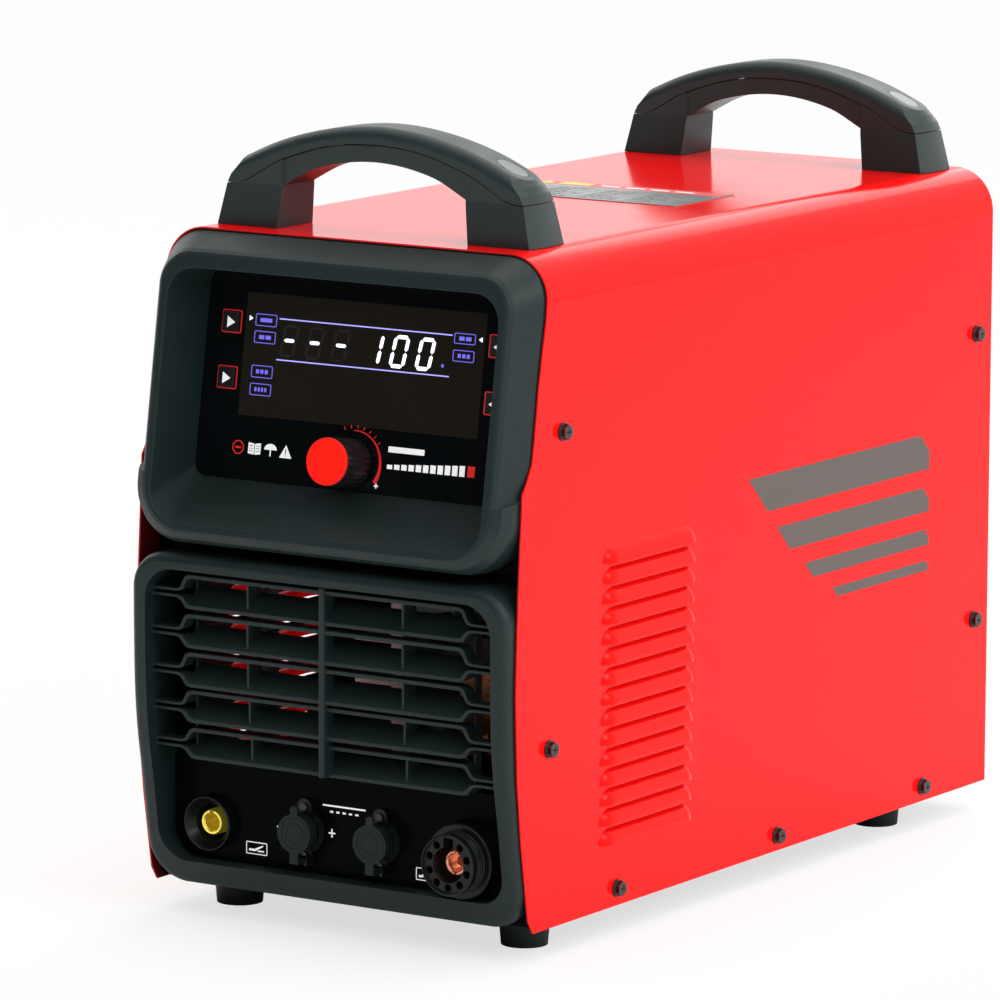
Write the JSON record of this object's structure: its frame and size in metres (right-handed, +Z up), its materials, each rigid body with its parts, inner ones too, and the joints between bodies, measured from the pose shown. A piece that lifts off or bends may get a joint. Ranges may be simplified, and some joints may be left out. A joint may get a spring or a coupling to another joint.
{
  "type": "plasma cutter power source",
  "caption": "Inverter plasma cutting power source: louvred steel cover, tilted control head with display and knob, front grille and sockets, arched carry handles, rear fan and air filter",
  "frame": {"origin": "on the floor, midway between the four feet", "axes": "+Z up, the control front faces -Y, +X to the right seen from the front"},
  "size_m": [0.2486, 0.5872, 0.424],
  "materials": {
    "alu_sink": "extruded",
    "black_paint": "matt black powder coat",
    "board_green": "circuit board laminate",
    "bowl_clear": "clear polycarbonate",
    "brass": "machined brass",
    "cap_sleeve": "dark blue sleeve",
    "copper": "bare copper",
    "core_grey": "ferrite",
    "fan_plastic": "glass filled plastic",
    "gauge_clear": "clear lens",
    "gauge_white": "white printed dial",
    "hose_blue": "blue polyurethane tube",
    "key_plastic": "black key with white arrow",
    "knob_black": "fluted black moulding",
    "knob_red": "bright red insert",
    "label_grey": "printed grey label",
    "lead_black": "cable sheath",
    "module_black": "moulded package",
    "panel_film": "black gloss overlay",
    "plug_gloss": "smooth plug",
    "red_paint": "satin red powder coat",
    "regulator_metal": "die cast, silver enamel",
    "rubber_black": "moulded rubber",
    "screen_tint": "brown-black tinted window",
    "screw_black": "black oxide",
    "shell_plastic": "charcoal, fine moulded grain",
    "socket_black": "black insulating moulding",
    "steel_plain": "bright steel",
    "switch_black": "black moulding",
    "switch_grey": "light grey moulding",
    "winding": "enamelled copper",
    "wire_chrome": "plated wire",
    "zinc_sheet": "zinc plated sheet"
  },
  "bodies": {
    "unit": {"air_hose": "hose_blue", "base_tray": "black_paint", "bus_capacitors": "cap_sleeve", "cable_gland": "switch_black", "case_screws": "screw_black", "coil_brackets": "zinc_sheet", "coil_cores": "core_grey", "coil_windings": "winding", "control_board": "board_green", "control_panel": "panel_film", "display_board": "board_green", "display_window": "screen_tint", "earth_socket_body": "socket_black", "earth_socket_contact": "brass", "encoder_body": "steel_plain", "fan_frame": "fan_plastic", "fan_guard": "wire_chrome", "front_chassis": "black_paint", "front_handle_body": "shell_plastic", "front_handle_grip": "shell_plastic", "gauge_body": "switch_black", "gauge_dial": "gauge_white", "gauge_glass": "gauge_clear", "handle_plugs": "plug_gloss", "heat_sinks": "alu_sink", "hex_nuts": "steel_plain", "inner_shelf": "zinc_sheet", "interface_sockets": "socket_black", "lower_bezel": "shell_plastic", "mains_switch_body": "switch_grey", "mains_switch_plate": "switch_grey", "outer_cover": "red_paint", "output_leads": "lead_black", "panel_screws": "screw_black", "power_board": "board_green", "power_modules": "module_black", "rating_plate": "label_grey", "rear_handle_body": "shell_plastic", "rear_handle_grip": "shell_plastic", "rear_panel": "black_paint", "regulator_body": "regulator_metal", "regulator_bowl": "bowl_clear", "regulator_bracket": "zinc_sheet", "rubber_feet": "rubber_black", "solenoid_valve": "module_black", "torch_socket_body": "socket_black", "torch_socket_contact": "copper", "upper_bezel": "shell_plastic"},
    "key_upper_left": {"button_upper_left": "key_plastic"},
    "key_lower_left": {"button_lower_left": "key_plastic"},
    "key_upper_right": {"button_upper_right": "key_plastic"},
    "key_lower_right": {"button_lower_right": "key_plastic"},
    "knob": {"encoder_shaft": "steel_plain", "control_knob": "knob_black", "knob_cap": "knob_red"},
    "cap_left": {"dust_cap_left": "rubber_black"},
    "cap_right": {"dust_cap_right": "rubber_black"},
    "fan": {"fan_rotor": "fan_plastic"},
    "switch_knob": {"mains_switch_knob": "switch_black"},
    "pressure_knob": {"regulator_knob": "switch_black"}
  },
  "joints": [
    {"name": "press_upper_left", "type": "slide", "parent": "unit", "child": "key_upper_left", "axis": [0, 0.9877, -0.1564], "range_m": [0, 0.0008], "stiffness_N_per_m": 900},
    {"name": "press_lower_left", "type": "slide", "parent": "unit", "child": "key_lower_left", "axis": [0, 0.9877, -0.1564], "range_m": [0, 0.0008], "stiffness_N_per_m": 900},
    {"name": "press_upper_right", "type": "slide", "parent": "unit", "child": "key_upper_right", "axis": [0, 0.9877, -0.1564], "range_m": [0, 0.0008], "stiffness_N_per_m": 900},
    {"name": "press_lower_right", "type": "slide", "parent": "unit", "child": "key_lower_right", "axis": [0, 0.9877, -0.1564], "range_m": [0, 0.0008], "stiffness_N_per_m": 900},
    {"name": "knob_turn", "type": "hinge", "parent": "unit", "child": "knob", "pos_m": [0, -0.2091, 0.25], "axis": [0, -0.9877, 0.1564], "continuous": true},
    {"name": "cap_left_open", "type": "hinge", "parent": "unit", "child": "cap_left", "pos_m": [-0.024, -0.2222, 0.0381], "axis": [1, 0, 0], "range_deg": [0, 90]},
    {"name": "cap_right_open", "type": "hinge", "parent": "unit", "child": "cap_right", "pos_m": [0.024, -0.2222, 0.0381], "axis": [1, 0, 0], "range_deg": [0, 90]},
    {"name": "fan_spin", "type": "hinge", "parent": "unit", "child": "fan", "pos_m": [0, 0.2275, 0.105], "axis": [0, 1, 0], "continuous": true},
    {"name": "mains_turn", "type": "hinge", "parent": "unit", "child": "switch_knob", "pos_m": [0.062, 0.258, 0.305], "axis": [0, -1, 0], "range_deg": [0, 90]},
    {"name": "pressure_turn", "type": "hinge", "parent": "unit", "child": "pressure_knob", "pos_m": [-0.052, 0.303, 0.3], "axis": [0, 0, 1], "range_deg": [-540, 540]}
  ]
}
